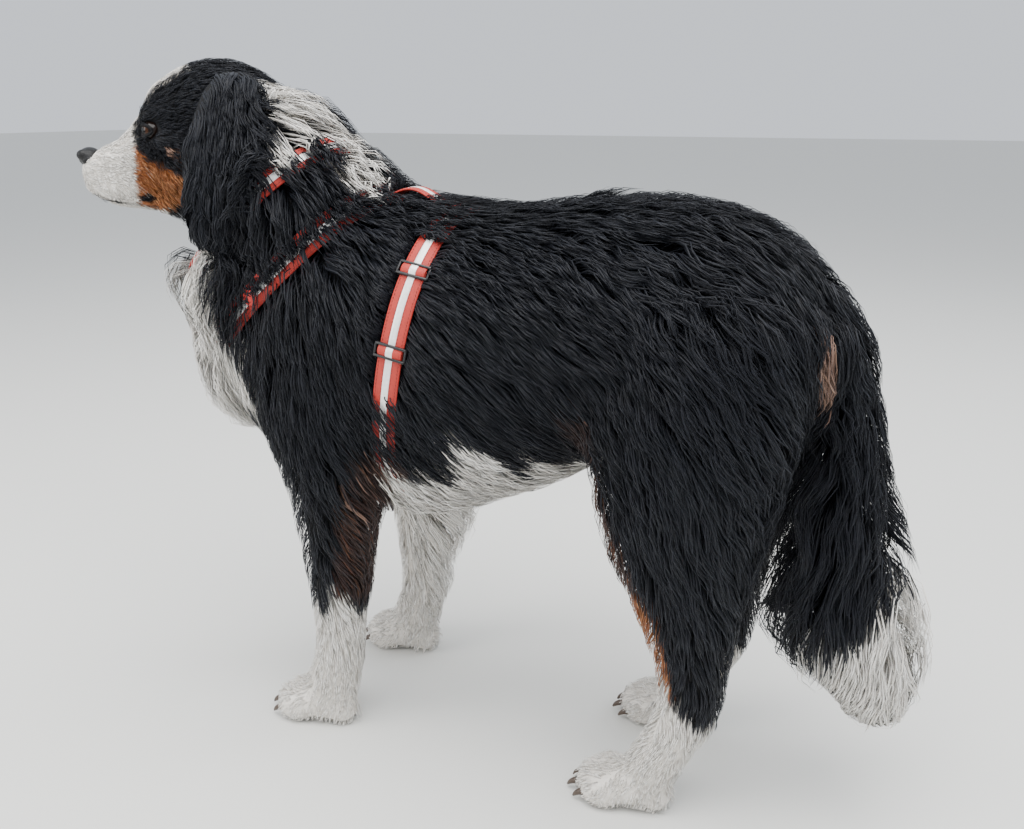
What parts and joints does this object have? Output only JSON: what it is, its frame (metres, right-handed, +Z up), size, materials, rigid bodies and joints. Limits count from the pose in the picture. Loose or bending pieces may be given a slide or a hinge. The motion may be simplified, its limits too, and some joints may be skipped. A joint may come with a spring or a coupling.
{
  "type": "bernese mountain dog",
  "caption": "Life-size still model of a standing Bernese mountain dog, head turned to its left, in a collar and a walking harness.",
  "frame": {"origin": "on the floor, under the middle of the whole dog's bounding box", "axes": "the trunk lies along X and faces -X, the dog's left side is towards -Y, +Z is up"},
  "size_m": [1.0167, 0.319, 0.8289],
  "materials": {
    "coat": "long black coat with white and rust markings",
    "nose": "moist, pebbled",
    "eye": "wet gloss",
    "claw": "smooth horn",
    "webbing": "woven, with a pale reflective stripe",
    "slider": "moulded, satin"
  },
  "bodies": {
    "root": {"claw_foreleg_left_1": "claw", "claw_foreleg_left_2": "claw", "claw_foreleg_left_3": "claw", "claw_foreleg_left_4": "claw", "claw_foreleg_right_1": "claw", "claw_foreleg_right_2": "claw", "claw_foreleg_right_3": "claw", "claw_foreleg_right_4": "claw", "claw_hindleg_left_1": "claw", "claw_hindleg_left_2": "claw", "claw_hindleg_left_3": "claw", "claw_hindleg_left_4": "claw", "claw_hindleg_right_1": "claw", "claw_hindleg_right_2": "claw", "claw_hindleg_right_3": "claw", "claw_hindleg_right_4": "claw", "collar": "webbing", "ear_left": "coat", "ear_right": "coat", "eye_left": "eye", "eye_right": "eye", "foreleg_left": "coat", "foreleg_right": "coat", "harness_back_strap": "webbing", "harness_chest_strap": "webbing", "harness_girth": "webbing", "harness_neck_loop": "webbing", "harness_rivet_left": "webbing", "harness_slider_lower": "slider", "harness_slider_upper": "slider", "head": "coat", "hindleg_left": "coat", "hindleg_right": "coat", "neck": "coat", "nose": "nose", "tail": "coat", "torso": "coat"}
  },
  "joints": []
}
